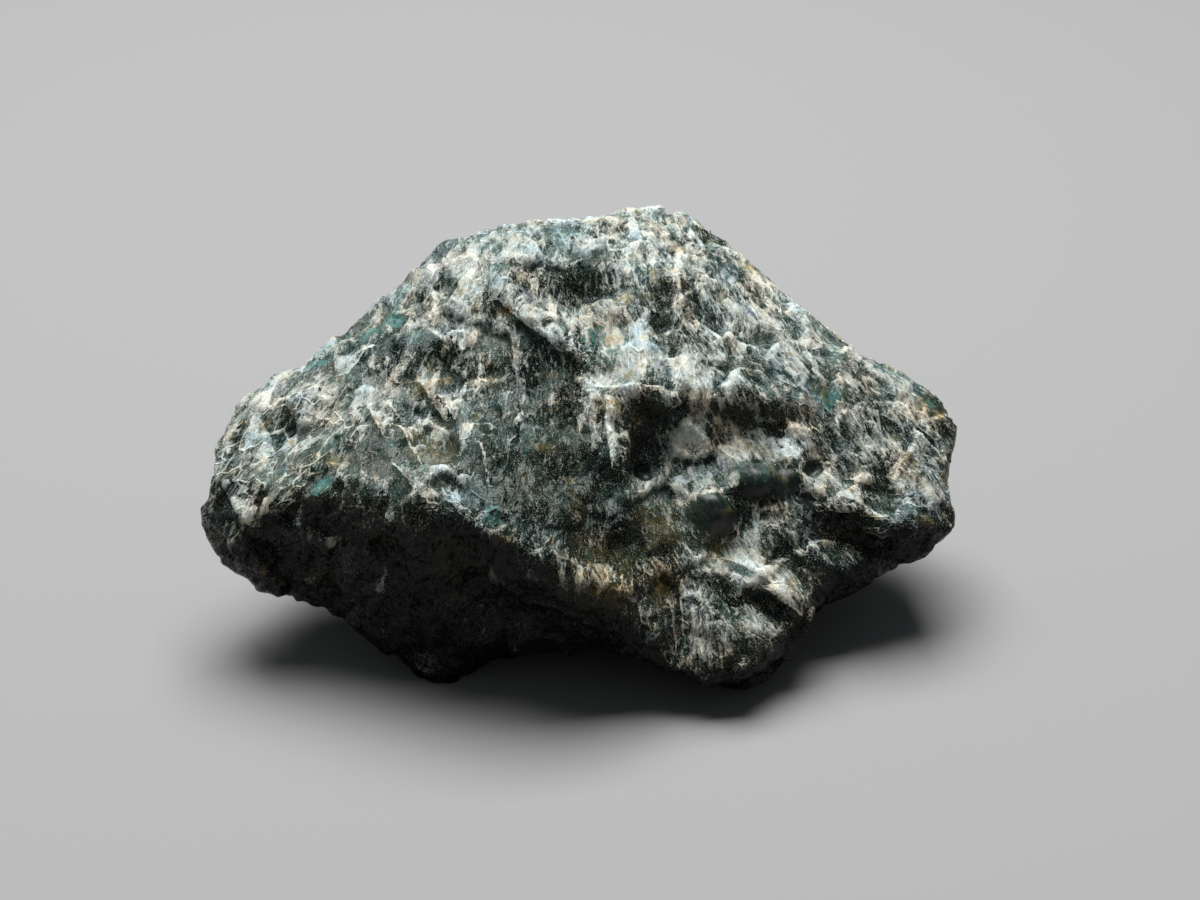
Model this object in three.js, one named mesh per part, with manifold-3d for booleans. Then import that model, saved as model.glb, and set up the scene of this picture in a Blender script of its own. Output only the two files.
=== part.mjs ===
// A rough grandidierite crystal: one blocky cleavage fragment of dark blue-green mineral, 25 mm long.
// It has a high flat-topped knob at the left of its crest, a sloping right shoulder, an overhanging brow
// along the front, a lobe at the front right with a hollow of rounded bosses above it, and it rests on
// three low feet. Units are millimetres, +X runs along the crystal to the right, +Y back and +Z up.
import * as THREE from "three";
import { ConvexHull } from "three/addons/math/ConvexHull.js";
import { ImprovedNoise } from "three/addons/math/ImprovedNoise.js";
import { TessellateModifier } from "three/addons/modifiers/TessellateModifier.js";
import { mergeVertices } from "three/addons/utils/BufferGeometryUtils.js";
import Module from "manifold-3d";

const LENGTH = 25;

// Every corner is seen from this point inside the crystal, so the body is star-shaped about it.
const HEART = new THREE.Vector3(0, 0.8, 6);

// Main corners of the crystal, [x, y, z], named by the form that they belong to.
const CORNERS = {
  leftTip: [[-13.1, -2.0, 6.5], [-13.2, -2.2, 5.5], [-13.1, -2.8, 4.2], [-12.7, -1.5, 7.2]],
  leftSlope: [[-11.5, -0.2, 8.3], [-9.9, 0.8, 9.2], [-8.5, 2.0, 10.2], [-6.9, 2.8, 11.0], [-5.7, 4.0, 12.0]],
  crest: [[-4.0, 3.9, 12.3], [-1.8, 3.7, 12.6], [-0.3, 4.9, 12.4], [1.4, 6.1, 12.2], [2.9, 6.9, 11.8]],
  rightSlope: [
    [3.6, 6.3, 11.3], [5.1, 5.6, 10.5], [6.5, 4.3, 9.6], [7.9, 3.2, 8.8], [9.6, 2.8, 8.1], [11.0, 2.3, 7.4],
  ],
  rightEnd: [[11.7, 1.7, 6.8], [12.0, 1.2, 6.0], [11.7, -0.1, 5.2], [11.7, -1.3, 4.4], [11.6, -1.9, 3.6]],
  rightUnderside: [[10.5, -2.2, 2.9], [8.8, -2.4, 2.3], [6.8, -4.3, 2.5], [5.7, -5.9, 2.1]],
  frontArch: [[-1.0, -5.0, 1.6], [-3.3, -4.7, 1.2]],
  leftUnderside: [
    [-5.6, -4.6, 0.0], [-7.2, -4.1, 0.7], [-8.2, -4.0, 1.3], [-9.5, -3.7, 2.0], [-10.7, -3.5, 2.5],
    [-11.8, -3.3, 3.1], [-12.6, -3.0, 3.8],
  ],
  brow: [
    [-11.3, -4.1, 5.3], [-9.9, -4.2, 6.7], [-8.0, -4.6, 7.5], [-6.2, -5.8, 7.7], [-4.8, -6.3, 7.6],
    [-3.4, -6.5, 7.2], [-1.9, -6.8, 6.3], [-0.3, -7.0, 4.9], [0.8, -6.4, 3.4],
  ],
  leftFaceRidge: [[-7.6, -1.3, 8.9], [-5.2, 0.4, 10.6], [-3.3, 1.5, 12.2]],
  frontFace: [[-3.2, -2.7, 8.6], [-0.3, -3.8, 7.4], [0.3, -1.8, 9.2], [-1.3, 0.3, 11.0]],
  knobFlank: [[-1.3, 1.8, 12.8], [1.3, 1.9, 12.0], [0.0, 1.0, 11.0]],
  rightShoulder: [[3.3, 2.5, 11.0], [2.6, -0.4, 9.9], [6.0, 2.9, 9.3], [8.6, 0.7, 7.8], [10.0, 0.4, 7.2]],
  shoulderEdge: [[1.3, -2.0, 9.6], [3.9, -1.3, 9.0], [6.2, -0.5, 8.4]],
  pitHollow: [
    [1.6, -2.1, 7.9], [3.9, -1.2, 7.0], [6.2, -0.9, 7.2], [1.3, -3.7, 6.6], [3.2, -3.6, 5.4],
    [5.5, -2.4, 5.8], [7.9, -1.4, 6.0], [9.9, -1.1, 5.8],
  ],
  rightLedge: [[8.9, -2.2, 4.9], [10.7, -2.3, 4.6], [9.5, -2.6, 3.6]],
  frontLobe: [
    [3.9, -4.4, 4.4], [5.8, -3.4, 4.5], [6.6, -4.2, 3.4], [3.2, -6.1, 3.6], [1.7, -5.7, 4.1],
    [4.6, -6.2, 3.2], [4.7, -6.8, 1.8], [3.1, -6.4, 1.7], [1.4, -6.3, 2.3],
  ],
  backUpper: [
    [-9.5, 2.6, 6.6], [-7.0, 5.0, 7.6], [-4.0, 6.6, 9.2], [-1.0, 7.6, 9.8], [1.8, 8.6, 9.6],
    [4.4, 8.2, 8.4], [7.0, 6.4, 6.6], [9.4, 4.8, 5.0], [11.3, 3.0, 4.6],
  ],
  backLower: [
    [-10.8, 0.8, 3.8], [-8.2, 4.2, 3.4], [-5.0, 6.6, 3.8], [-1.5, 8.0, 4.2], [2.0, 8.4, 3.6],
    [5.2, 7.2, 3.0], [8.2, 4.6, 2.6], [10.2, 1.8, 2.4],
  ],
  leftFoot: [[-5.8, -3.9, -0.7], [-4.2, -2.6, -0.6], [-5.6, -1.4, -0.3]],
  rightFoot: [[4.5, -4.3, -0.6], [4.9, -2.4, -0.5], [3.2, -3.0, -0.5]],
  backFoot: [[-2.0, 4.6, -0.6], [2.2, 5.2, -0.6], [0.2, 3.4, -0.5]],
  hollow: [[-0.6, -3.4, 1.1], [-0.2, -0.4, 0.7], [-5.4, 2.2, 0.8], [5.8, 2.0, 0.7], [3.4, 0.9, 0.9]],
};

const LONGEST_EDGE = 0.85;
const SPLITTING_ROUNDS = 40;
const MERGE_DISTANCE = 1e-4;

// How far the broken edges are worn round: rounds of moving each vertex towards the middle of its neighbours.
const WEAR_ROUNDS = 3;
const WEAR_SHARE = 0.5;

// The mineral's columns fan out downwards from a point above the crystal, so its grains are long along
// that fan.
const FAN_APEX = new THREE.Vector3(-1.5, 1, 22);
const FAN_RADIUS = 15;
const GRAIN = { width: 1.7, length: 3.6, tilt: 0.24, step: 0.13 };

// Cleavage ledges: parallel steps where slabs have broken off.
const LEDGE = {
  axis: new THREE.Vector3(0.35, 0.3, 0.89).normalize(),
  pitch: 1.9,
  height: 0.16,
  wander: 0.9,
  wanderSize: 4,
};

const ROUGHNESS = [{ size: 3.2, height: 0.25 }, { size: 1.4, height: 0.08 }];

// Rounded bosses, and pits where the height is below 0.
const BOSSES = [
  { at: [4.6, -2.0, 6.5], radius: 1.3, height: 0.55 },
  { at: [6.0, -1.5, 6.5], radius: 0.9, height: 0.35 },
  { at: [3.6, -3.1, 5.8], radius: 1.2, height: 0.6 },
  { at: [7.0, -1.2, 6.3], radius: 0.55, height: -0.5 },
  { at: [1.3, -3.1, 7.3], radius: 0.7, height: -0.6 },
  { at: [4.9, -3.0, 5.4], radius: 0.9, height: -0.4 },
  { at: [9.5, -1.5, 5.4], radius: 1.1, height: -0.5 },
  { at: [-5.2, -2.4, 8.3], radius: 1.3, height: -0.35 },
  { at: [-9.0, -3.2, 6.4], radius: 1.0, height: -0.3 },
];

// Straight crests, and clefts where the height is below 0.
const CRESTS = [
  { from: [3.9, -4.8, 4.4], to: [6.5, -4.7, 3.1], half: 1.0, height: 0.5 },
  { from: [4.6, -5.4, 3.7], to: [5.8, -5.4, 2.9], half: 0.9, height: -0.45 },
  { from: [5.6, -2.9, 4.9], to: [7.0, -3.3, 4.0], half: 0.7, height: 0.4 },
  { from: [8.0, -2.0, 5.2], to: [10.9, -2.3, 4.3], half: 0.8, height: 0.4 },
  { from: [-7.4, -1.4, 8.9], to: [-6.6, -3.1, 7.9], half: 0.7, height: 0.35 },
  { from: [-5.6, -1.0, 9.4], to: [-4.2, -3.4, 8.1], half: 0.7, height: 0.35 },
  { from: [0.2, -1.7, 9.3], to: [0.4, -3.4, 7.4], half: 0.8, height: 0.4 },
  { from: [-3.3, 0.9, 11.5], to: [-1.2, -0.6, 10.2], half: 1.0, height: 0.35 },
  { from: [1.6, -3.9, 6.2], to: [-0.4, -5.9, 5.0], half: 0.8, height: -0.35 },
  { from: [2.4, -1.6, 8.0], to: [2.2, -4.2, 5.2], half: 0.8, height: -0.35 },
];

// Joins the corners into one closed faceted body: two corners share an edge where their directions from
// the heart are neighbours on a sphere.
function cornerBody(corners) {
  const directions = corners.map((corner) => {
    const direction = corner.clone().sub(HEART).normalize();
    direction.corner = corner;
    return direction;
  });
  const positions = [];
  for (const face of new ConvexHull().setFromPoints(directions).faces) {
    let edge = face.edge;
    do {
      positions.push(...edge.head().point.corner.toArray());
      edge = edge.next;
    } while (edge !== face.edge);
  }
  return new THREE.BufferGeometry().setAttribute("position", new THREE.Float32BufferAttribute(positions, 3));
}

// Splits the facets until no edge is longer than LONGEST_EDGE, and shares the vertices between them.
function meshed(body) {
  const split = new TessellateModifier(LONGEST_EDGE, SPLITTING_ROUNDS).modify(body);
  split.deleteAttribute("normal");
  return mergeVertices(split, MERGE_DISTANCE);
}

// Wears the edges round, then makes up for the length that this takes off.
function wear(geometry) {
  const position = geometry.attributes.position;
  const neighbours = Array.from({ length: position.count }, () => new Set());
  const index = geometry.index.array;
  for (let i = 0; i < index.length; i += 3) {
    for (const [a, b] of [[0, 1], [1, 2], [2, 0]]) {
      neighbours[index[i + a]].add(index[i + b]);
      neighbours[index[i + b]].add(index[i + a]);
    }
  }
  for (let round = 0; round < WEAR_ROUNDS; round++) {
    const before = neighbours.map((_, v) => new THREE.Vector3().fromBufferAttribute(position, v));
    before.forEach((place, v) => {
      const middle = new THREE.Vector3();
      neighbours[v].forEach((n) => middle.add(before[n]));
      middle.divideScalar(neighbours[v].size);
      position.setXYZ(v, ...place.clone().lerp(middle, WEAR_SHARE).toArray());
    });
  }
  geometry.computeBoundingBox();
  const { min, max } = geometry.boundingBox;
  const growth = LENGTH / (max.x - min.x);
  geometry.translate(-HEART.x, -HEART.y, -HEART.z);
  geometry.scale(growth, growth, growth);
  geometry.translate(HEART.x, HEART.y, HEART.z);
}

// A number from 0 to 1 that is always the same for the same cell and salt.
function chance(i, j, k, salt) {
  let h = Math.imul(i, 374761393) ^ Math.imul(j, 668265263) ^ Math.imul(k, 1442695041);
  h ^= Math.imul(salt, 1274126177);
  h = Math.imul(h ^ (h >>> 13), 1103515245);
  h = Math.imul(h ^ (h >>> 16), 2246822519);
  return ((h ^ (h >>> 15)) >>> 0) / 2 ** 32;
}

// Broken grain ends: each grain is a tilted flat at its own level.
function grain(point) {
  const along = 1 / GRAIN.length;
  const across = 1 / GRAIN.width - along;
  const ray = point.clone().sub(FAN_APEX);
  const place = ray.clone().normalize().multiplyScalar(across * FAN_RADIUS + along * ray.length());
  const cell = place.toArray().map(Math.floor);
  let nearest = Infinity;
  let level = 0;
  for (let n = 0; n < 27; n++) {
    const steps = [n % 3, Math.floor(n / 3) % 3, Math.floor(n / 9)];
    const [i, j, k] = steps.map((step, axis) => cell[axis] + step - 1);
    const random = (salt) => chance(i, j, k, salt);
    const seed = new THREE.Vector3(i + random(1), j + random(2), k + random(3));
    const offset = place.clone().sub(seed);
    if (offset.lengthSq() < nearest) {
      nearest = offset.lengthSq();
      const tilt = new THREE.Vector3(random(4), random(5), random(6)).subScalar(0.5);
      level = 2 * GRAIN.tilt * offset.dot(tilt) + GRAIN.step * (2 * random(7) - 1);
    }
  }
  return level;
}

const noise = new ImprovedNoise();

function noiseAt(point, size) {
  return noise.noise(point.x / size, point.y / size, point.z / size);
}

// A sawtooth across the cleavage: it climbs slowly and drops at once at each ledge.
function ledge(point) {
  const turns = point.dot(LEDGE.axis) / LEDGE.pitch + LEDGE.wander * noiseAt(point, LEDGE.wanderSize);
  return LEDGE.height * (turns - Math.floor(turns) - 0.5);
}

function boss(point, { at, radius, height }) {
  const share = point.distanceTo(new THREE.Vector3(...at)) / radius;
  return share < 1 ? height * (1 - share ** 2) ** 1.5 : 0;
}

function crest(point, { from, to, half, height }) {
  const line = new THREE.Line3(new THREE.Vector3(...from), new THREE.Vector3(...to));
  const away = point.distanceTo(line.closestPointToPoint(point, true, new THREE.Vector3())) / half;
  return away < 1 ? height * (1 - away) ** 1.5 : 0;
}

function relief(point) {
  let height = grain(point) + ledge(point);
  ROUGHNESS.forEach(({ size, height: most }) => (height += most * noiseAt(point, size)));
  BOSSES.forEach((one) => (height += boss(point, one)));
  CRESTS.forEach((one) => (height += crest(point, one)));
  return height;
}

// Moves each vertex out or in along its normal by the relief there.
function raiseRelief(geometry) {
  geometry.computeVertexNormals();
  const { position, normal } = geometry.attributes;
  for (let v = 0; v < position.count; v++) {
    const place = new THREE.Vector3().fromBufferAttribute(position, v);
    const out = new THREE.Vector3().fromBufferAttribute(normal, v);
    position.setXYZ(v, ...place.clone().addScaledVector(out, relief(place)).toArray());
  }
  geometry.deleteAttribute("normal");
}

const wasm = await Module();
wasm.setup();

function solidOf(geometry) {
  const vertProperties = geometry.attributes.position.array;
  const triVerts = new Uint32Array(geometry.index.array);
  return new wasm.Manifold(new wasm.Mesh({ numProp: 3, vertProperties, triVerts }));
}

// Cuts away what is below z = 0, which leaves a small flat on each foot.
function flattenFeet(geometry) {
  const size = 2 * LENGTH;
  const block = new THREE.BoxGeometry(size, size, size).translate(0, 0, -size / 2);
  block.deleteAttribute("normal");
  block.deleteAttribute("uv");
  const cut = solidOf(geometry).subtract(solidOf(mergeVertices(block))).getMesh();
  return new THREE.BufferGeometry()
    .setAttribute("position", new THREE.BufferAttribute(cut.vertProperties, 3))
    .setIndex(new THREE.BufferAttribute(cut.triVerts, 1));
}

// Puts the origin under the middle of the crystal, on the surface that it rests on.
function centreOverOrigin(geometry) {
  geometry.computeBoundingBox();
  const middle = geometry.boundingBox.getCenter(new THREE.Vector3());
  geometry.translate(-middle.x, -middle.y, 0);
}

const corners = Object.values(CORNERS).flat().map((place) => new THREE.Vector3(...place));
const rough = meshed(cornerBody(corners));
wear(rough);
raiseRelief(rough);
const geometry = flattenFeet(rough).toNonIndexed();
centreOverOrigin(geometry);
geometry.computeVertexNormals();

const stone = new THREE.MeshStandardMaterial({ color: 0x1d3a3a, roughness: 0.55, metalness: 0 });
const mesh = new THREE.Mesh(geometry, stone);
mesh.name = "grandidierite_crystal";
const crystal = new THREE.Group();
crystal.add(mesh);

export default crystal;
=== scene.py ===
# A rough grandidierite crystal on a pale floor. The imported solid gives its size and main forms, and this
# script adds the broken grains, fibres and colours. Lengths are millimetres until the piece is finished.
import math
from types import SimpleNamespace

import bpy
import numpy as np
from mathutils import Matrix, Vector, noise


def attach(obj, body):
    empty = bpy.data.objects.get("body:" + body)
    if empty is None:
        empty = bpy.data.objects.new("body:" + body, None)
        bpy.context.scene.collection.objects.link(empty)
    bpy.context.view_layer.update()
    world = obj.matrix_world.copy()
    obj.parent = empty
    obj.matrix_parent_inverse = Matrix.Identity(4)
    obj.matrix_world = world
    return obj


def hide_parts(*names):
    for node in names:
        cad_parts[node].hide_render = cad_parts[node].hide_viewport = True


MM = 0.001

NODE = "grandidierite_crystal"

# The camera faces the crystal's long front and looks down on it.
IMAGE_WIDTH = 1200
PIXELS_PER_MM = 30.1
SENSOR_WIDTH = 36
LOOK_AT = Vector((0.49, -1.08, 6.3))
CAMERA_DISTANCE = 90
CAMERA_ELEVATION = math.radians(30)

# One large soft light above and behind the crystal, a weak even fill, and a floor under it all.
LIGHT_FROM = (-0.05, 0.22, 0.97)
LIGHT_DISTANCE = 200
LIGHT_SIZE = 140
LIGHT_WATTS = 0.75
FILL_COLOUR = (0.9, 0.95, 1.0)
FILL_STRENGTH = 0.10
FLOOR_REACH = 1500
FLOOR_COLOUR = (0.30, 0.30, 0.30)
FLOOR_ROUGHNESS = 0.9

# The fine mesh that is laid over the solid, and the rounds that smooth its facets away.
VOXEL = 0.12
SMOOTHING_ROUNDS = 10

# Rounds of averaging over the mesh, for the directions and heights that steer the fibres and colours.
DIRECTION_ROUNDS = 40
LIGHT_FACING_ROUNDS = 10
FINE_ROUNDS = 8
BROAD_ROUNDS = 80

# Noise is read this far apart for each seed, and for each cell by its own random share of SHUFFLE.
SEED_STEP = 100
SHUFFLE = 40
SECOND_DRAW = (50, 0, 0)

# The mineral's fibres run up the crystal's front and over its top. They lie square to ACROSS, and to each
# side of FAN_MIDDLE they lean towards it, by the share LEAN of each millimetre.
ACROSS = (1.0, 0.0, 0.0)
UPHILL = (0.0, 0.5, 0.87)
FAN_MIDDLE = -1.0
LEAN = 0.07

# Broken flats, and splinters that lie side by side along the fibres of their grain. Each has its own tilt.
FLATS = {"size": 1.8, "tilt": 0.14, "step": 0.03, "seed": 5}
SPLINTERS = {"grain": 2.0, "turn": 0.6, "stretch": 2.4, "size": 0.55, "tilt": 0.20, "step": 0.03, "seed": 1}
RIBS = {"grain": 1.8, "turn": 0.7, "stretch": 8, "size": 0.26, "height": 0.04, "seed": 3}
LUMPS = {"size": 2.2, "height": 0.12}

# Sharp crests, and clefts where the height is below 0: [from, to, half width, height]. A crest is steeper on
# the side that faces down the crystal's front.
DOWNHILL = (0.0, -0.8, -0.6)
STEEP_SHARE = 0.16
RIM_REACH = 1.0
CRESTS = [
    # the broken plates and needles on the left front
    [(-7.0, -2.6, 8.9), (-6.4, -3.9, 8.4), 0.75, 0.22],
    [(-6.0, -3.3, 8.5), (-5.2, -4.9, 8.1), 0.85, 0.22],
    [(-6.1, -4.8, 8.0), (-4.8, -6.6, 7.6), 0.85, 0.22],
    [(-5.3, -2.0, 9.4), (-4.5, -3.1, 8.6), 0.75, 0.22],
    [(-4.7, -2.4, 9.1), (-3.8, -4.6, 8.4), 0.85, 0.22],
    [(-3.5, -3.7, 8.7), (-3.9, -4.8, 8.3), 0.35, 0.16],
    [(-3.3, -4.5, 8.5), (-3.0, -5.9, 7.8), 0.70, 0.22],
    [(-7.7, -1.3, 9.3), (-6.9, -0.5, 9.9), 0.85, 0.22],
    [(-6.2, -2.5, 9.0), (-5.1, -2.9, 8.6), 0.45, -0.30],
    [(-4.8, -3.7, 8.1), (-4.0, -4.6, 8.3), 0.40, -0.30],
    # the knob's streak, the cleft beside it and the pale column under it
    [(-2.8, -0.3, 11.5), (-0.8, -1.8, 10.4), 1.00, 0.22],
    [(-0.3, 0.8, 12.3), (0.2, -0.1, 11.2), 0.60, -0.35],
    [(0.6, -2.6, 9.6), (0.9, -4.5, 7.6), 0.85, 0.22],
    # the shoulder
    [(5.0, 0.3, 9.8), (7.2, 1.6, 9.1), 0.45, -0.30],
    [(2.3, -0.7, 10.4), (2.8, -0.2, 10.7), 0.60, -0.35],
    # the front lobe and the right end
    [(4.8, -5.1, 4.5), (6.0, -5.4, 3.8), 0.85, 0.22],
    [(5.9, -5.6, 3.7), (7.1, -5.8, 2.8), 0.75, 0.36],
    [(5.1, -5.8, 3.8), (6.5, -6.1, 2.9), 0.45, -0.40],
    [(6.0, -3.9, 5.1), (7.0, -4.3, 4.2), 0.85, 0.22],
    [(8.3, -3.2, 5.2), (10.0, -3.2, 4.7), 0.45, 0.22],
    [(8.7, -3.5, 4.8), (10.3, -3.4, 4.3), 0.45, 0.22],
    [(8.4, -3.3, 4.4), (10.2, -3.1, 3.5), 0.50, -0.30],
    [(8.9, -2.3, 5.9), (10.6, -2.4, 5.4), 0.55, 0.22],
    [(9.6, -2.7, 5.5), (11.0, -2.6, 5.0), 0.45, 0.18],
]

# Smooth dark bosses, and pits where the height is below 0: [middle, radius, height].
BOSSES = [
    [(4.1, -4.5, 5.9), 0.90, 0.30],
    [(5.5, -3.1, 6.4), 0.80, 0.32],
    [(6.5, -3.0, 6.2), 0.60, 0.26],
    [(7.5, -2.2, 6.2), 0.40, -0.35],
    [(7.3, -3.2, 5.6), 0.35, -0.25],
    [(1.8, -3.6, 6.8), 0.50, -0.25],
]

# How far the rims of the bosses and pits stray from a circle, and over what length. The seed makes that the
# same each time. Inwards from the rims they lose the share BOSS_CALM of the broken relief, and the two rises
# say how soon that and their colour are reached.
BEND = 0.35
BEND_SIZE = 0.7
BEND_SEED = 1
BOSS_CALM = 0.8
BOSS_CALM_RISE = 2
BOSS_COLOUR_RISE = 1.6

# The pale film is thickest on the side that faces this way, which lies near the light, so it also paints
# light on faces turned to it; the overhangs get painted shade.
LIT_SIDE = (-0.1, 0.15, 0.98)

# Places where the pale film is thicker, or thinner where the strength is below 0: partly patches of wear,
# and partly painted light on shaded steep drops and painted shade on the front and lower faces. They also
# lift the painted shade on faces turned from the light. [middle, radius, strength].
FILM_AND_PAINTED_LIGHT_PLACES = [
    [(-3.8, 1.6, 11.8), 1.6, 0.25],
    [(-1.2, -1.3, 10.8), 1.1, 0.4],
    [(0.7, -2.9, 9.3), 1.2, 0.8],
    [(0.9, -3.9, 8.3), 0.9, 1.0],
    [(-6.6, -3.0, 8.8), 0.7, 0.4],
    [(-4.6, -3.4, 8.8), 0.7, 0.4],
    [(9.8, -1.2, 6.6), 1.6, 0.2],
    [(5.3, -5.2, 4.3), 1.2, 0.5],
    [(5.0, -4.4, 4.9), 0.8, 0.4],
    [(4.1, -5.3, 4.8), 0.8, 0.4],
    [(3.3, -6.1, 4.3), 0.8, 0.3],
    [(3.6, -7.1, 2.7), 1.2, 0.3],
    [(9.6, -3.2, 4.9), 1.2, 0.2],
    [(4.4, -2.0, 8.3), 1.6, 0.45],
    [(7.0, -1.6, 7.6), 1.5, 0.35],
    [(3.2, -2.7, 8.1), 1.0, 0.5],
    [(4.6, -2.8, 7.4), 1.2, 0.25],
    [(3.0, -2.5, 7.8), 1.2, 0.9],
    [(2.7, 0.2, 11.0), 0.9, -0.6],
    [(5.2, -1.2, 9.1), 0.9, -0.6],
    [(8.5, 0.2, 8.3), 2.5, -0.2],
    [(-9.5, -1.8, 8.3), 3.0, 0.15],
    [(-1.8, -4.6, 8.3), 3.4, -1.0],
    [(-1.6, -6.2, 7.4), 2.4, -0.7],
    [(-0.8, -1.9, 10.1), 1.2, -0.4],
    [(-6.6, -4.6, 7.9), 3.0, -0.7],
    [(-9.3, -4.6, 7.0), 1.8, -0.3],
    [(-6.6, -0.6, 10.0), 2.4, -0.5],
    [(-4.0, -2.0, 9.8), 1.8, -0.3],
    [(0.2, -5.6, 6.8), 2.2, -0.75],
    [(1.8, -5.7, 5.7), 2.0, -0.75],
    [(0.1, 0.2, 11.7), 1.5, -0.4],
    [(1.5, -3.7, 7.6), 1.5, -0.4],
    [(9.5, -2.8, 3.2), 2.6, -1.3],
]

# Places with an ochre stain, with a net of pale cracks and with clear grains: [middle, radius].
STAINED_PLACES = [
    [(-4.9, -4.2, 8.3), 1.2],
    [(0.5, -7.2, 5.0), 2.0],
    [(0.8, -2.9, 9.1), 0.8],
    [(2.6, -5.2, 6.2), 1.2],
    [(2.6, -6.5, 4.4), 1.0],
    [(4.3, -5.0, 4.9), 0.9],
    [(4.5, -2.4, 8.0), 0.7],
    [(-4.2, -6.6, 5.4), 1.4],
]
NETTED_PLACES = [
    [(-9.8, -3.2, 7.6), 3.0],
]
GLASSY_PLACES = [
    [(-8.4, -4.7, 7.1), 0.7],
    [(0.5, -0.8, 10.7), 0.9],
    [(0.8, -1.5, 10.3), 0.9],
    [(8.1, -0.6, 7.9), 0.9],
    [(11.6, 0.7, 7.2), 0.6],
    [(-2.8, -6.9, 7.3), 0.5],
    [(-7.4, 0.2, 10.3), 0.9],
    [(-8.1, 0.5, 9.6), 0.7],
    [(-8.9, -0.4, 9.1), 0.9],
    [(-6.3, 0.2, 10.6), 0.8],
]

# The grains that the colours and bumps follow. In each the fibres lie at a random turn of their own, and the
# slivers in it are drawn out along them by its stretch.
LARGE_GRAIN = {"cell": 2.4, "turn": 0.5, "stretch": 2.4}
SMALL_GRAIN = {"cell": 1.2, "turn": 0.9, "stretch": 3.5}
TINY_GRAIN = {"cell": 1.5, "turn": 0.8, "stretch": 2.0}
LONG_GRAIN = {"cell": 1.7, "turn": 0.8, "stretch": 8.0}
BLOTCH_GRAIN = {"cell": 3.0, "turn": 1.2, "stretch": 1.7}
LARGE_SLIVER = 0.42
SMALL_SLIVER = 0.17
TINY_SLIVER = 0.085
FIBRE_WIDTH = 0.07
PAINTED_GLINT_SIZE = 0.035

# Colours of the slivers, of the film over them and of the glassy grains, and the tints that lie over all.
SLIVER_TONES = [
    (0.0, (0.003, 0.007, 0.005)),
    (0.3, (0.009, 0.020, 0.016)),
    (0.5, (0.025, 0.046, 0.038)),
    (0.75, (0.088, 0.108, 0.098)),
    (0.92, (0.080, 0.138, 0.124)),
    (1.0, (0.180, 0.270, 0.250)),
]
FILM_TONES = [
    (0.25, (0.34, 0.34, 0.38)),
    (0.45, (0.60, 0.58, 0.51)),
    (0.6, (0.66, 0.66, 0.62)),
    (0.75, (0.49, 0.60, 0.64)),
]
GLASSY_TONES = [
    (0.2, (0.025, 0.095, 0.080)),
    (0.8, (0.150, 0.310, 0.290)),
]
TINTS = [
    (0.35, (1.03, 0.96, 0.86)),
    (0.5, (0.95, 0.99, 0.95)),
    (0.65, (0.87, 0.98, 1.03)),
]
# Painted shade: the colour is multiplied by these tones by how far a face turns from the light, down to dark
# on the overhangs and the underside.
PAINTED_SHADE_TONES = [
    (0.0, (0.15, 0.15, 0.13)),
    (0.4, (1.04, 1.0, 0.92)),
    (1.0, (0.97, 1.0, 1.03)),
]
LINE_COLOUR = (0.81, 0.80, 0.73)
STAIN_COLOUR = (1.0, 0.70, 0.36)
OCHRE_COLOUR = (0.20, 0.155, 0.055)


def edge_array(mesh):
    edges = np.empty(2 * len(mesh.edges), np.int32)
    mesh.edges.foreach_get("vertices", edges)
    return edges.reshape(-1, 2)


def point_array(mesh):
    points = np.empty(3 * len(mesh.vertices), np.float32)
    mesh.vertices.foreach_get("co", points)
    return points.reshape(-1, 3).astype(float)


def normal_array(mesh):
    normals = np.empty(3 * len(mesh.vertices), np.float32)
    mesh.vertex_normals.foreach_get("vector", normals)
    return normals.reshape(-1, 3).astype(float)


def set_points(mesh, points):
    mesh.vertices.foreach_set("co", points.astype(np.float32).ravel())
    mesh.update()


def averaged(values, edges, rounds):
    """Each vertex's value after it has moved halfway to the mean of its neighbours, that many times."""
    values = np.array(values, float).reshape(len(values), -1)
    ends = edges.ravel()
    others = edges[:, ::-1].ravel()
    count = np.bincount(ends, minlength=len(values))[:, None]
    for _ in range(rounds):
        sums = [np.bincount(ends, column[others], len(values)) for column in values.T]
        values = (values + np.stack(sums, 1) / count) / 2
    return values


def unit(vectors):
    return vectors / np.linalg.norm(vectors, axis=1, keepdims=True)


def noise_heights(places):
    return np.array([noise.noise(Vector(place)) for place in places])


def cell_middles(places):
    """The middle of the cell that each place lies in."""
    return np.array([noise.voronoi(Vector(place))[1][0] for place in places])


def border_gaps(places):
    """How far each place is from the border between its cell and the next one."""
    nearest = np.array([noise.voronoi(Vector(place))[1][:2] for place in places])
    across = unit(nearest[:, 0] - nearest[:, 1])
    return np.sum((places - nearest.mean(1)) * across, 1)


def cell_randoms(middles):
    """Two random vectors from -1 to 1 for each cell."""
    cells, owner = np.unique(np.round(middles, 3), axis=0, return_inverse=True)
    shift = Vector(SECOND_DRAW)
    pairs = [(noise.cell_vector(Vector(cell)), noise.cell_vector(Vector(cell) + shift)) for cell in cells]
    randoms = 2 * np.array(pairs) - 1
    return randoms[owner.ravel(), 0], randoms[owner.ravel(), 1]


def drawn_out(points, normals, grain, turn, stretch, seed):
    """The places of the points, drawn out along the fibres, which lie at their own angle in each grain."""
    places = points / grain + SEED_STEP * seed
    middles = cell_middles(places)
    offsets = (places - middles) * grain
    spin, shift = cell_randoms(middles)
    lean = LEAN * ((points - offsets)[:, :1] - FAN_MIDDLE)
    across = np.array(ACROSS) + lean * np.array(UPHILL) + turn / 2 * spin
    fibres = unit(np.cross(normals, across))
    along = fibres * np.sum(offsets * fibres, 1, keepdims=True)
    return offsets - along * (1 - 1 / stretch) + SHUFFLE * shift


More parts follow.
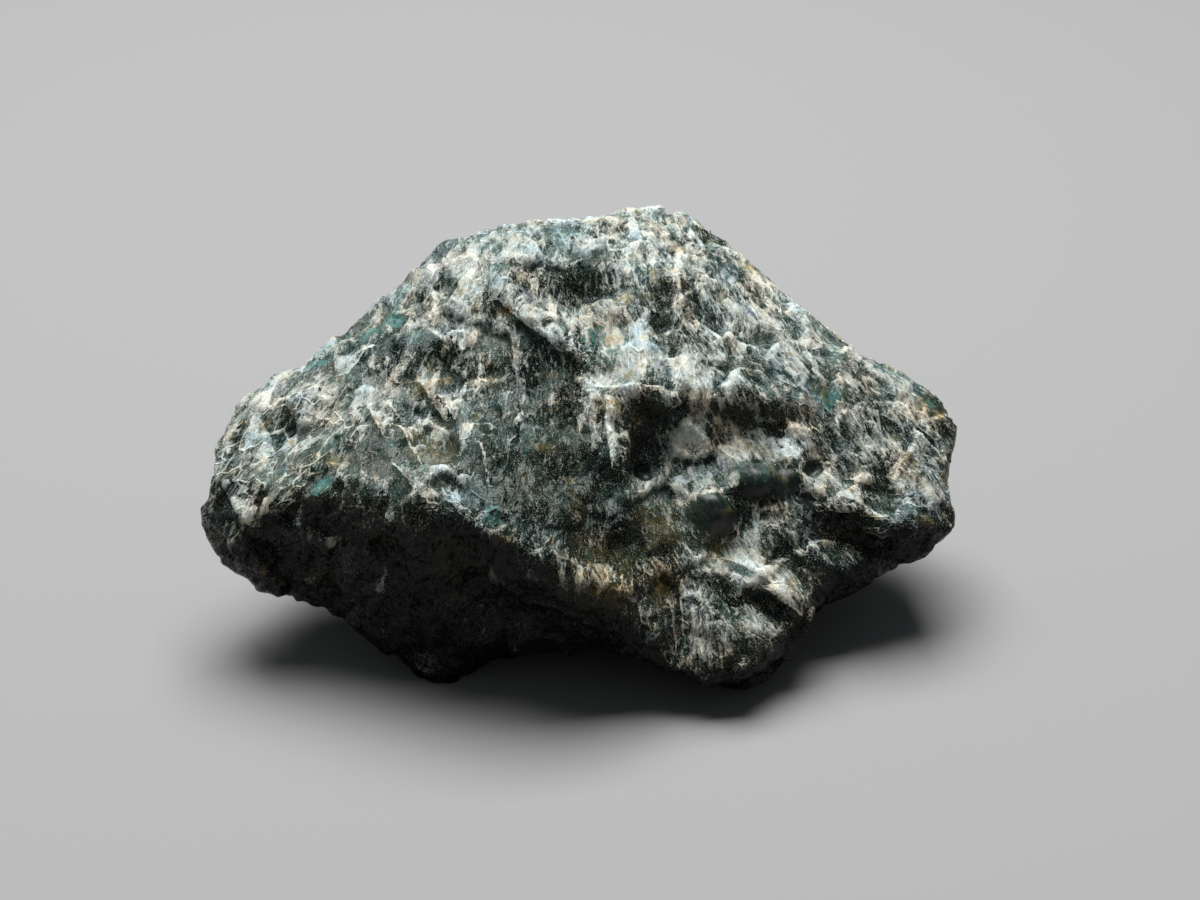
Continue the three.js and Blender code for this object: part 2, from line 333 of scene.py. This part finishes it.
def flat_heights(places, size, tilt, step, seed):
    places = places / size + SEED_STEP * seed
    middles = cell_middles(places)
    lean = cell_randoms(middles)[0]
    return size * tilt * np.sum((places - middles) * lean, 1) + step * lean[:, 2]


def flat_gaps(points):
    return FLATS["size"] * border_gaps(points / FLATS["size"] + SEED_STEP * FLATS["seed"])


def splinter_heights(points, normals, grain, turn, stretch, size, tilt, step, seed):
    return flat_heights(drawn_out(points, normals, grain, turn, stretch, seed), size, tilt, step, seed)


def rib_heights(points, normals, grain, turn, stretch, size, height, seed):
    return height * noise_heights(drawn_out(points, normals, grain, turn, stretch, seed) / size)


def nearness(points, middle, radius):
    """1 at the middle and 0 from the radius outwards."""
    return np.clip(1 - np.linalg.norm(points - np.array(middle), axis=1) / radius, 0, 1)


def from_line(points, start, end):
    """Each point's distance from the line, its share of the way along, and whether it lies downhill."""
    start = np.array(start)
    along = np.array(end) - start
    share = np.clip((points - start) @ along / (along @ along), 0, 1)
    offsets = points - start - share[:, None] * along
    return np.linalg.norm(offsets, axis=1), share, offsets @ np.array(DOWNHILL) > 0


def crest_heights(points):
    heights = np.zeros(len(points))
    for start, end, half, height in CRESTS:
        distance, share, downhill = from_line(points, start, end)
        width = np.where(downhill & (height > 0), STEEP_SHARE * half, half)
        taper = np.sqrt(4 * share * (1 - share))
        heights += height * taper * np.clip(1 - distance / width, 0, 1)
    return heights


def crest_gaps(points):
    """How far each point lies uphill of the nearest crest, or downhill of it where the number is below 0."""
    gaps = np.full(len(points), RIM_REACH)
    for start, end, _, height in CRESTS:
        distance, _, downhill = from_line(points, start, end)
        closer = (distance < np.abs(gaps)) & (height > 0)
        gaps = np.where(closer, np.where(downhill, -distance, distance), gaps)
    return gaps


def gathered(points, places):
    """How strongly each point belongs to the nearest of these places, from 0 to 1."""
    return np.max([nearness(points, middle, radius) for middle, radius in places], 0)


# The strength of the film and painted light places at each point.
def film_and_painted_light_strength(points):
    return sum(strength * nearness(points, middle, radius) for middle, radius, strength in FILM_AND_PAINTED_LIGHT_PLACES)


def boss_share(points):
    return np.max([nearness(points, middle, radius) for middle, radius, _ in BOSSES], 0)


def relief(points, normals):
    heights = flat_heights(points, **FLATS)
    heights += splinter_heights(points, normals, **SPLINTERS)
    heights += rib_heights(points, normals, **RIBS)
    heights *= 1 - BOSS_CALM * np.clip(BOSS_CALM_RISE * boss_share(points), 0, 1)
    heights += LUMPS["height"] * noise_heights(points / LUMPS["size"])
    return heights + crest_heights(points)


def boss_heights(points):
    noise.seed_set(BEND_SEED)
    bends = np.array([noise.noise_vector(Vector(point)) for point in points / BEND_SIZE])
    bent = points + BEND * bends
    return sum(height * np.sqrt(nearness(bent, middle, radius)) for middle, radius, height in BOSSES)


def add_attribute(mesh, name, values):
    mesh.attributes.new(name, "FLOAT", "POINT").data.foreach_set("value", values.astype(np.float32))


def add_vectors(mesh, name, vectors):
    attribute = mesh.attributes.new(name, "FLOAT_VECTOR", "POINT")
    attribute.data.foreach_set("vector", vectors.astype(np.float32).ravel())


def fine_mesh():
    """A dense even mesh over the solid, in millimetres."""
    piece = bpy.data.objects.new("crystal_surface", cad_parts[NODE].data.copy())
    bpy.context.scene.collection.objects.link(piece)
    piece.data.transform(Matrix.Scale(1 / MM, 4))
    remesh = piece.modifiers.new("remesh", "REMESH")
    remesh.mode = "VOXEL"
    remesh.voxel_size = VOXEL
    shown = piece.evaluated_get(bpy.context.evaluated_depsgraph_get())
    piece.data = bpy.data.meshes.new_from_object(shown)
    piece.modifiers.clear()
    return piece


def crystal():
    piece = fine_mesh()
    mesh = piece.data
    edges = edge_array(mesh)
    points = averaged(point_array(mesh), edges, SMOOTHING_ROUNDS)
    set_points(mesh, points)
    normals = normal_array(mesh)
    smooth_normals = unit(averaged(normals, edges, DIRECTION_ROUNDS))
    heights = averaged(relief(points, smooth_normals), edges, 1)[:, 0]
    raised = points + normals * (heights + boss_heights(points))[:, None]
    raised[:, 2] = np.maximum(raised[:, 2], 0)
    set_points(mesh, raised)

    fine = heights - averaged(heights, edges, FINE_ROUNDS)[:, 0]
    broad = heights - averaged(heights, edges, BROAD_ROUNDS)[:, 0]
    # How far each face turns to the light's side, which the colour uses for painted light and shade.
    light_facing = averaged(normals @ np.array(LIT_SIDE), edges, LIGHT_FACING_ROUNDS)[:, 0]
    add_attribute(mesh, "fine_height", fine)
    add_attribute(mesh, "broad_height", broad)
    add_attribute(mesh, "light_facing", light_facing)
    add_vectors(mesh, "smooth_normal", smooth_normals)
    add_attribute(mesh, "film_and_painted_light_strength", film_and_painted_light_strength(points))
    add_attribute(mesh, "stained", gathered(points, STAINED_PLACES))
    add_attribute(mesh, "netted", gathered(points, NETTED_PLACES))
    add_attribute(mesh, "glassy", gathered(points, GLASSY_PLACES))
    add_attribute(mesh, "boss", np.clip(BOSS_COLOUR_RISE * boss_share(points), 0, 1))
    add_attribute(mesh, "crest_gap", crest_gaps(points))
    add_attribute(mesh, "flat_gap", flat_gaps(points))

    mesh.transform(Matrix.Scale(MM, 4))
    mesh.shade_smooth()
    mesh.materials.clear()
    mesh.materials.append(crystal_material())
    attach(piece, "root")
    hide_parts(NODE)


class Graph:
    """Adds nodes to one material. A socket passed as an input is linked, and a number is set."""

    def __init__(self, material):
        material.use_nodes = True
        self.tree = material.node_tree

    def node(self, kind, inputs, **settings):
        node = self.tree.nodes.new(kind)
        for name, value in settings.items():
            setattr(node, name, value)
        for name, value in inputs.items():
            if isinstance(value, bpy.types.NodeSocket):
                self.tree.links.new(value, node.inputs[name])
            else:
                node.inputs[name].default_value = value
        return node

    def math(self, operation, first, second=0.0):
        node = self.node("ShaderNodeMath", {0: first, 1: second}, operation=operation)
        return node.outputs[0]

    def vector(self, operation, first, second=(0, 0, 0)):
        node = self.node("ShaderNodeVectorMath", {0: first, 1: second}, operation=operation)
        return node.outputs["Vector"]

    def scaled(self, vector, factor):
        node = self.node("ShaderNodeVectorMath", {0: vector, "Scale": factor}, operation="SCALE")
        return node.outputs["Vector"]

    def dot(self, first, second):
        node = self.node("ShaderNodeVectorMath", {0: first, 1: second}, operation="DOT_PRODUCT")
        return node.outputs["Value"]

    def ramp(self, value, low, high, start=0.0, end=1.0):
        inputs = {"Value": value, "From Min": low, "From Max": high, "To Min": start, "To Max": end}
        node = self.node("ShaderNodeMapRange", inputs, interpolation_type="SMOOTHSTEP")
        return node.outputs["Result"]

    def attribute(self, name):
        return self.node("ShaderNodeAttribute", {}, attribute_name=name).outputs["Fac"]

    def noise(self, place, size, detail=2.0, roughness=0.5):
        inputs = {"Vector": place, "Scale": 1 / size, "Detail": detail, "Roughness": roughness}
        return self.node("ShaderNodeTexNoise", inputs).outputs["Fac"]

    def cells(self, place, size):
        return self.node("ShaderNodeTexVoronoi", {"Vector": place, "Scale": 1 / size})

    def edges(self, place, size):
        """How far each point is from the nearest border between cells, in cell sizes."""
        inputs = {"Vector": place, "Scale": 1 / size}
        return self.node("ShaderNodeTexVoronoi", inputs, feature="DISTANCE_TO_EDGE").outputs["Distance"]

    def total(self, *terms):
        """The sum of each value times its weight."""
        total = 0.0
        for value, weight in terms:
            node = self.node("ShaderNodeMath", {0: value, 1: weight, 2: total}, operation="MULTIPLY_ADD")
            total = node.outputs[0]
        return total

    def tones(self, value, stops):
        node = self.node("ShaderNodeValToRGB", {"Fac": value})
        ramp = node.color_ramp
        while len(ramp.elements) < len(stops):
            ramp.elements.new(1)
        for element, (position, colour) in zip(ramp.elements, stops):
            element.position = position
            element.color = (*colour, 1)
        return node.outputs["Color"]

    def mixed(self, share, first, second, blend="MIX"):
        node = self.node("ShaderNodeMix", {"Factor": share}, data_type="RGBA", blend_type=blend)
        for socket, colour in ((node.inputs[6], first), (node.inputs[7], second)):
            if isinstance(colour, bpy.types.NodeSocket):
                self.tree.links.new(colour, socket)
            else:
                socket.default_value = (*colour, 1)
        return node.outputs[2]


def fibre_place(graph, place, cell, turn, stretch):
    """Coordinates that are drawn out along the fibres, which lie at their own angle in each grain."""
    grain = graph.cells(place, cell)
    middle = grain.outputs["Position"]
    offset = graph.vector("SUBTRACT", place, middle)
    random = graph.vector("SUBTRACT", grain.outputs["Color"], (0.5, 0.5, 0.5))
    lean = graph.total((graph.dot(middle, ACROSS), LEAN), (1.0, -LEAN * FAN_MIDDLE))
    across = graph.vector("ADD", graph.scaled(UPHILL, lean), ACROSS)
    across = graph.vector("ADD", across, graph.scaled(random, turn))
    normal = graph.node("ShaderNodeAttribute", {}, attribute_name="smooth_normal").outputs["Vector"]
    fibres = graph.vector("NORMALIZE", graph.vector("CROSS_PRODUCT", normal, across))
    along = graph.scaled(fibres, graph.dot(offset, fibres))
    drawn = graph.vector("SUBTRACT", offset, graph.scaled(along, 1 - 1 / stretch))
    return graph.vector("ADD", drawn, graph.scaled(random, SHUFFLE))


def slivers(graph, place, size):
    """Small flat grains: the tilt of each as a height in millimetres, and its random number."""
    cells = graph.cells(place, size)
    random = graph.vector("SUBTRACT", cells.outputs["Color"], (0.5, 0.5, 0.5))
    lean = graph.dot(graph.vector("SUBTRACT", place, cells.outputs["Position"]), random)
    number = graph.node("ShaderNodeSeparateColor", {"Color": cells.outputs["Color"]}).outputs[0]
    return lean, number


def rims_and_painted_shadows(graph, place):
    """The pale rims of the crests and the broken flats, less a painted shadow under the crests."""
    wobble = graph.total((graph.noise(place, 0.25, 2), 0.12), (1.0, -0.06))
    patches = graph.ramp(graph.noise(place, 1.2, 2), 0.42, 0.6)
    crest_gap = graph.math("ADD", graph.attribute("crest_gap"), wobble)
    crest_rim = graph.ramp(graph.math("ABSOLUTE", crest_gap), 0.07, 0.01)
    above = graph.math("MULTIPLY", graph.ramp(crest_gap, 0.0, 0.05), graph.ramp(crest_gap, 0.4, 0.05))
    painted_shadow_below = graph.math("MULTIPLY", graph.ramp(crest_gap, 0.0, -0.08), graph.ramp(crest_gap, -0.5, -0.1))
    flat_gap = graph.math("ADD", graph.attribute("flat_gap"), wobble)
    flat_rim = graph.math("MULTIPLY", graph.ramp(flat_gap, 0.08, 0.0), patches)
    return graph.total((crest_rim, 0.6), (above, 0.08), (painted_shadow_below, -0.35), (flat_rim, 0.35))


def border_share(graph, place, large_place):
    """The pale cracks between large slivers, which show most where they form a net."""
    borders = graph.ramp(graph.edges(large_place, LARGE_SLIVER), 0.09, 0.0)
    borders = graph.math("MULTIPLY", borders, graph.ramp(graph.attribute("netted"), 0.0, 0.4, 0.3, 0.6))
    return graph.math("MULTIPLY", borders, graph.ramp(graph.noise(place, 0.7, 1), 0.35, 0.6, 0.3, 1.0))


def surface_parts(graph):
    """What the colour, the gloss and the bumps share."""
    coordinates = graph.node("ShaderNodeTexCoord", {}).outputs["Object"]
    place = graph.scaled(coordinates, 1 / MM)
    boss = graph.attribute("boss")
    off_boss = graph.ramp(boss, 0.3, 0.0)
    large_place = fibre_place(graph, place, **LARGE_GRAIN)
    long_place = fibre_place(graph, place, **LONG_GRAIN)
    large_lean, large_number = slivers(graph, large_place, LARGE_SLIVER)
    small_lean, small_number = slivers(graph, fibre_place(graph, place, **SMALL_GRAIN), SMALL_SLIVER)
    tiny_lean, tiny_number = slivers(graph, fibre_place(graph, place, **TINY_GRAIN), TINY_SLIVER)
    # Painted glints: small pale specks put into the colour.
    painted_glints = graph.ramp(graph.noise(place, PAINTED_GLINT_SIZE, 0), 0.60, 0.80)
    return SimpleNamespace(
        place=place,
        boss=boss,
        off_boss=off_boss,
        large_place=large_place,
        long_place=long_place,
        large_lean=large_lean,
        large_number=large_number,
        small_lean=small_lean,
        small_number=small_number,
        tiny_lean=tiny_lean,
        tiny_number=tiny_number,
        fine=graph.noise(place, 0.07, 2),
        fibres=graph.ramp(slivers(graph, long_place, FIBRE_WIDTH)[1], 0.84, 0.90),
        borders=border_share(graph, place, large_place),
        painted_glints=graph.math("MULTIPLY", painted_glints, off_boss),
        light_facing=graph.attribute("light_facing"),
        broad_height=graph.attribute("broad_height"),
        film_and_painted_light_strength=graph.attribute("film_and_painted_light_strength"),
    )


def wear_and_painted_light_share(graph, surface):
    """How pale each point is, from wear and from painted light. It grows with the height, so crests are
    paler and hollows get painted shade, and with how far the face turns to the light, which paints light on
    top and shade underneath.
    """
    blotches = graph.noise(fibre_place(graph, surface.place, **BLOTCH_GRAIN), 0.55, 1)
    cover = graph.total(
        (graph.noise(surface.large_place, 1.2, 2), 1.3),
        (blotches, 1.2),
        (surface.large_number, 0.20),
        (surface.small_number, 0.20),
        # The heights make crests paler and hollows darker, partly wear and partly painted shade; the two
        # facing ramps paint light on faces turned to the light and shade under overhangs.
        (graph.ramp(graph.attribute("fine_height"), -0.12, 0.12), 0.6),
        (graph.ramp(surface.broad_height, -0.3, 0.3), 0.6),
        (graph.ramp(surface.light_facing, -0.1, 0.95), 0.40),
        (graph.ramp(surface.light_facing, -0.5, 0.1), 0.60),
        (surface.film_and_painted_light_strength, 1.0),
        (surface.boss, -0.9),
        (1.0, -2.78),
    )
    streaks = graph.noise(surface.long_place, 0.14, 3)
    crinkles = graph.total((streaks, 0.6), (surface.fine, 0.6), (surface.fibres, 0.16), (1.0, -0.62))
    crinkles = graph.math("MULTIPLY", crinkles, graph.ramp(surface.light_facing, 0.3, 0.95, 1.1, 0.45))
    return graph.total(
        (cover, 0.8),
        (crinkles, 1.0),
        (surface.borders, 1.0),
        (surface.tiny_number, 0.30),
        (surface.painted_glints, 0.25),
        (rims_and_painted_shadows(graph, surface.place), 1.0),
        (1.0, -0.30),
    )


def line_share(graph, surface, wear_and_painted_light):
    """The palest lines: the palest points of wear and painted light, the painted glints, and single fibres
    on the steep sides.
    """
    patches = graph.ramp(graph.noise(surface.place, 1.0, 1), 0.45, 0.6)
    strands = graph.math("MULTIPLY", surface.fibres, patches)
    strands = graph.math("MULTIPLY", strands, graph.ramp(surface.light_facing, 0.95, 0.6))
    strands = graph.math("MULTIPLY", strands, graph.ramp(surface.light_facing, 0.0, 0.3))
    strands = graph.math("MULTIPLY", strands, surface.off_boss)
    return graph.total((graph.ramp(wear_and_painted_light, 0.35, 0.80), 0.80), (surface.painted_glints, 0.25), (strands, 0.18))


def sliver_colour(graph, surface):
    # Painted light and shade: the tone rises on the crests and on faces turned to the light and falls in the
    # hollows.
    tone = graph.total(
        (surface.large_number, 0.35),
        (surface.small_number, 0.25),
        (surface.tiny_number, 0.35),
        (graph.noise(surface.place, 0.9, 2), 0.9),
        (surface.broad_height, 0.6),
        (surface.fine, 0.3),
        (graph.ramp(surface.light_facing, 0.1, 0.95), 0.75),
        (surface.film_and_painted_light_strength, 0.45),
        (surface.boss, -0.2),
        (1.0, -1.03),
    )
    return graph.tones(tone, SLIVER_TONES)


def film_colour(graph, surface):
    tone = graph.total((graph.noise(surface.place, 0.7, 2), 0.8), (surface.large_number, 0.2))
    return graph.tones(tone, FILM_TONES)


def with_glassy_grains(graph, surface, colour, film_and_painted_light):
    glassy = graph.total(
        (graph.attribute("glassy"), 0.9),
        (surface.large_number, 0.6),
        (graph.noise(surface.place, 0.2, 2), 0.8),
        (film_and_painted_light, -0.4),
    )
    glassy_colour = graph.tones(graph.noise(surface.place, 0.25, 2), GLASSY_TONES)
    return graph.mixed(graph.ramp(glassy, 1.05, 1.25, 0.0, 0.8), colour, glassy_colour)


def with_stains(graph, place, colour):
    stain = graph.math("ADD", graph.ramp(graph.noise(place, 0.9, 3), 0.58, 0.75), graph.attribute("stained"))
    stain = graph.math("MULTIPLY", stain, graph.ramp(graph.noise(place, 0.3, 2), 0.35, 0.6, 0.1, 0.8))
    colour = graph.mixed(stain, colour, STAIN_COLOUR, "MULTIPLY")
    return graph.mixed(graph.math("MULTIPLY", stain, 0.4), colour, OCHRE_COLOUR)


def crystal_colour(graph, surface, wear_and_painted_light, film_and_painted_light):
    """The slivers, the film and the lines over them, and then the tints and stains, and last the painted
    shade that darkens faces turned from the light.
    """
    film_and_painted_light_share = graph.math("MULTIPLY", film_and_painted_light, 0.9)
    colour = graph.mixed(film_and_painted_light_share, sliver_colour(graph, surface), film_colour(graph, surface))
    colour = graph.mixed(line_share(graph, surface, wear_and_painted_light), colour, LINE_COLOUR)
    colour = with_glassy_grains(graph, surface, colour, film_and_painted_light)
    tints = graph.tones(graph.noise(surface.place, 1.1, 2), TINTS)
    colour = graph.mixed(1.0, colour, tints, "MULTIPLY")
    colour = with_stains(graph, surface.place, colour)
    # Painted shade: faces turned from the light are darkened, less where the film places lift them.
    painted_light_level = graph.total((surface.light_facing, 1.0), (surface.film_and_painted_light_strength, 0.5))
    painted_shade = graph.tones(graph.ramp(painted_light_level, -0.45, 1.0), PAINTED_SHADE_TONES)
    return graph.mixed(1.0, colour, painted_shade, "MULTIPLY")


def bump_height(graph, surface):
    """The slivers' tilts, cracks and fibres in millimetres. They are weaker on the bosses."""
    glints = graph.math("MULTIPLY", surface.tiny_lean, graph.ramp(surface.light_facing, 0.9, 0.5, 0.35, 0.9))
    height = graph.total(
        (surface.large_lean, 0.45),
        (surface.small_lean, 0.40),
        (glints, 1.0),
        (surface.borders, 0.06),
        (surface.fibres, 0.015),
        (surface.fine, 0.02),
    )
    return graph.math("MULTIPLY", height, graph.ramp(surface.boss, 0.6, 0.1, 0.4, 1.0))


def crystal_material():
    material = bpy.data.materials.new("crystal")
    graph = Graph(material)
    shader = graph.tree.nodes["Principled BSDF"]
    surface = surface_parts(graph)
    wear_and_painted_light = wear_and_painted_light_share(graph, surface)
    # The film share carries wear and painted light alike.
    film_and_painted_light = graph.ramp(wear_and_painted_light, -0.17, 0.48)
    colour = crystal_colour(graph, surface, wear_and_painted_light, film_and_painted_light)
    graph.tree.links.new(colour, shader.inputs["Base Color"])

    roughness = graph.total((film_and_painted_light, 0.35), (surface.fine, 0.15), (surface.boss, 0.20), (1.0, 0.17))
    graph.tree.links.new(roughness, shader.inputs["Roughness"])
    shader.inputs["Specular IOR Level"].default_value = 0.16
    graph.tree.links.new(graph.math("MULTIPLY", surface.boss, 0.5), shader.inputs["Coat Weight"])
    shader.inputs["Coat Roughness"].default_value = 0.32

    height = bump_height(graph, surface)
    bump = graph.node("ShaderNodeBump", {"Height": height, "Strength": 1.0, "Distance": MM})
    graph.tree.links.new(bump.outputs["Normal"], shader.inputs["Normal"])
    return material


def floor():
    half = FLOOR_REACH * MM
    mesh = bpy.data.meshes.new("floor")
    corners = [(-half, -half, 0), (half, -half, 0), (half, half, 0), (-half, half, 0)]
    mesh.from_pydata(corners, [], [(0, 1, 2, 3)])
    ground = bpy.data.objects.new("floor", mesh)
    bpy.context.scene.collection.objects.link(ground)
    material = bpy.data.materials.new("floor")
    material.use_nodes = True
    shader = material.node_tree.nodes["Principled BSDF"]
    shader.inputs["Base Color"].default_value = (*FLOOR_COLOUR, 1)
    shader.inputs["Roughness"].default_value = FLOOR_ROUGHNESS
    mesh.materials.append(material)


def lights():
    lamp = bpy.data.lights.new("soft_light", "AREA")
    lamp.size = LIGHT_SIZE * MM
    lamp.energy = LIGHT_WATTS
    light = bpy.data.objects.new("soft_light", lamp)
    towards = Vector(LIGHT_FROM).normalized()
    light.location = towards * LIGHT_DISTANCE * MM
    light.rotation_mode = "QUATERNION"
    light.rotation_quaternion = towards.to_track_quat("Z", "Y")
    bpy.context.scene.collection.objects.link(light)

    world = bpy.data.worlds.new("fill")
    world.use_nodes = True
    background = world.node_tree.nodes["Background"]
    background.inputs["Color"].default_value = (*FILL_COLOUR, 1)
    background.inputs["Strength"].default_value = FILL_STRENGTH
    bpy.context.scene.world = world


def camera():
    lens = bpy.data.cameras.new("camera")
    lens.sensor_width = SENSOR_WIDTH
    lens.lens = PIXELS_PER_MM * CAMERA_DISTANCE / IMAGE_WIDTH * SENSOR_WIDTH
    lens.clip_start = MM
    viewer = bpy.data.objects.new("camera", lens)
    back = Vector((0, -math.cos(CAMERA_ELEVATION), math.sin(CAMERA_ELEVATION)))
    viewer.location = (LOOK_AT + back * CAMERA_DISTANCE) * MM
    viewer.rotation_mode = "QUATERNION"
    viewer.rotation_quaternion = back.to_track_quat("Z", "Y")
    bpy.context.scene.collection.objects.link(viewer)
    bpy.context.scene.camera = viewer
    bpy.context.scene.view_settings.view_transform = "Standard"


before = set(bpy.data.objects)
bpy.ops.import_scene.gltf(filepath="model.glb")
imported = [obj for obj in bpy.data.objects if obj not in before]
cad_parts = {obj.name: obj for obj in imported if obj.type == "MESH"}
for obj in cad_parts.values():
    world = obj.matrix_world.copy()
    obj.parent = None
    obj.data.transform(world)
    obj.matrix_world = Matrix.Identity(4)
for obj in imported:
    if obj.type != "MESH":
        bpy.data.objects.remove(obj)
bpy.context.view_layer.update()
crystal()
floor()
lights()
camera()
